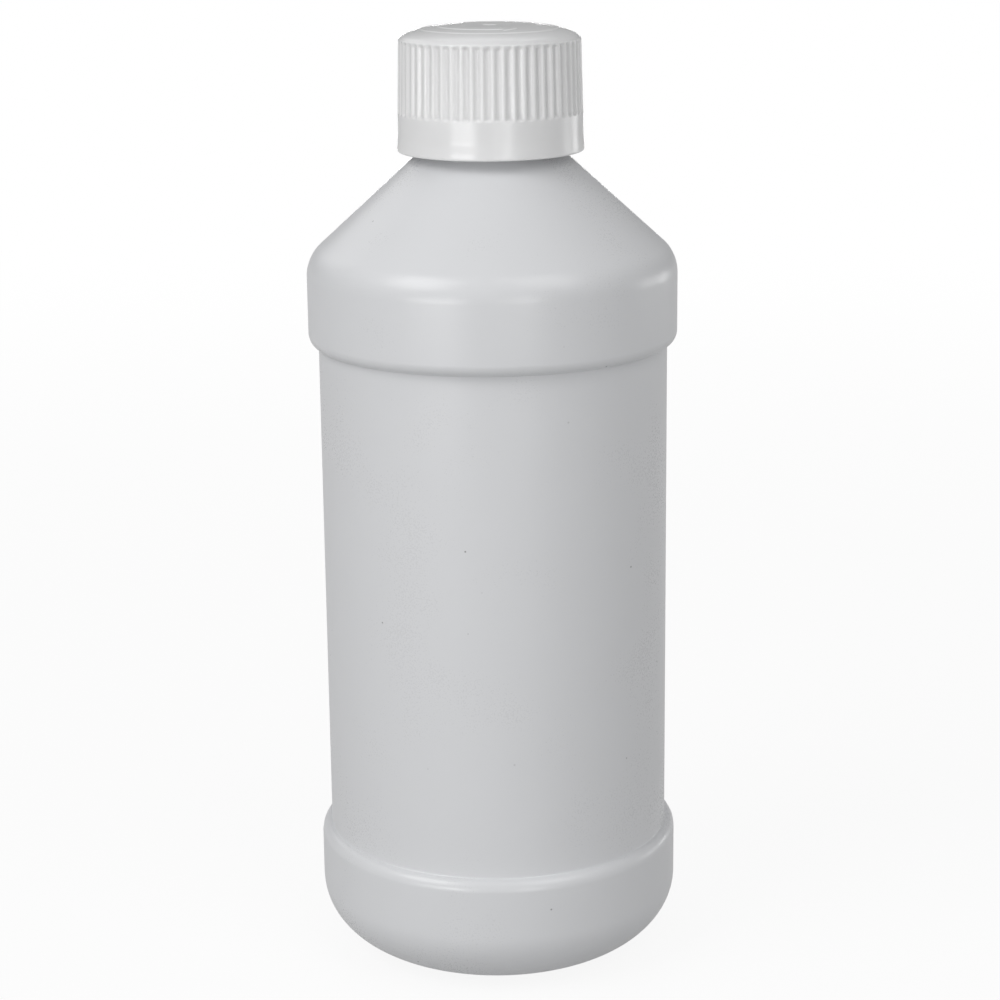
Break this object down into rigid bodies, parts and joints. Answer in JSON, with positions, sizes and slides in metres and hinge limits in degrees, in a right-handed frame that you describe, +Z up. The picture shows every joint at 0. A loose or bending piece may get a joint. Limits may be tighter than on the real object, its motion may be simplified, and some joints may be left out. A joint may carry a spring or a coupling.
{
  "type": "round plastic bottle",
  "caption": "Round plastic bottle with a recessed label panel, a conical shoulder and a threaded neck, closed by a fluted push-and-turn cap with a threaded inner cap and a liner.",
  "frame": {"origin": "centre of the standing ring, on the surface that the bottle stands on", "axes": "+Z up along the bottle's axis, towards the cap"},
  "size_m": [0.0716, 0.0716, 0.184],
  "materials": {
    "bottle_plastic": "satin white polyethylene, blow moulded",
    "liner_foam": "matt white foam",
    "inner_cap_plastic": "natural white polypropylene, injection moulded",
    "cap_plastic": "semi-gloss white polypropylene, injection moulded"
  },
  "bodies": {
    "bottle": {"bottle": "bottle_plastic", "neck_finish": "bottle_plastic"},
    "liner": {"liner": "liner_foam"},
    "inner_cap": {"inner_cap": "inner_cap_plastic"},
    "cap_shell": {"cap_shell": "cap_plastic"}
  },
  "joints": [
    {"name": "cap_lift", "type": "slide", "parent": "bottle", "child": "liner", "axis": [0, 0, 1], "range_m": [0, 0.02117]},
    {"name": "cap_turn", "type": "hinge", "parent": "liner", "child": "inner_cap", "pos_m": [0, 0, 0.17], "axis": [0, 0, 1], "range_deg": [0, 1800]},
    {"name": "cap_push", "type": "slide", "parent": "inner_cap", "child": "cap_shell", "axis": [0, 0, -1], "range_m": [0, 0.0012], "stiffness_N_per_m": 2000, "springref_m": -0.001}
  ],
  "couplings": [
    {"joint": "cap_lift", "follows": "cap_turn", "m_per_rad": 0.0006737}
  ]
}
